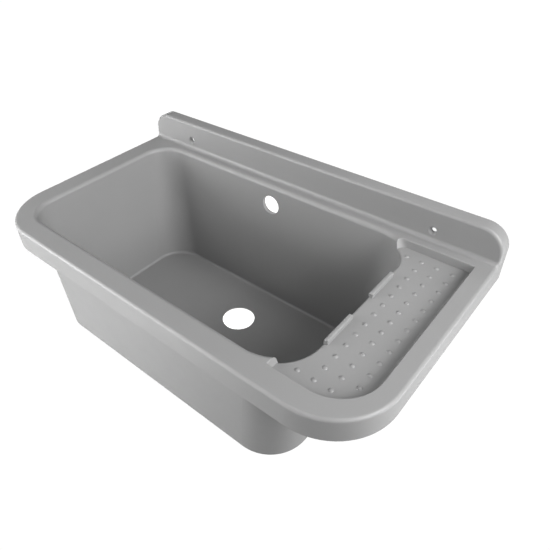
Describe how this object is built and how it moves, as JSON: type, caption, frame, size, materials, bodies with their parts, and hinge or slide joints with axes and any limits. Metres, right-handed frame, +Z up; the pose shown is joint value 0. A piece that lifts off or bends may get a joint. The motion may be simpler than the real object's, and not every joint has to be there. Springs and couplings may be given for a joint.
{
  "type": "utility sink",
  "caption": "Wall-hung moulded utility sink with a deep bowl, a raised backsplash, a pimpled soap tray, and a waste with a lift-out strainer and an overflow pipe.",
  "frame": {"origin": "on the wall plane, half way between the two screw holes of the backsplash and at their height", "axes": "+X to the right of someone who stands at the sink, along its length; +Y into the wall; +Z up"},
  "size_m": [0.604, 0.337, 0.3815],
  "materials": {
    "basin": "satin moulded polypropylene, grey",
    "fitting": "smooth moulded polypropylene, off-white",
    "gasket": "matt silicone, white"
  },
  "bodies": {
    "sink": {"sink_basin": "basin", "drain_gasket": "gasket", "waste_body": "fitting", "drain_nut": "fitting", "overflow_gasket": "gasket", "overflow_elbow": "fitting", "overflow_nut": "fitting", "overflow_pipe": "fitting", "upper_pipe_seal": "gasket", "upper_pipe_nut": "fitting", "lower_pipe_seal": "gasket", "lower_pipe_nut": "fitting"},
    "strainer": {"strainer": "fitting"}
  },
  "joints": [
    {"name": "strainer_lift", "type": "slide", "parent": "sink", "child": "strainer", "axis": [0, 0, 1], "range_m": [0, 0.33]}
  ]
}
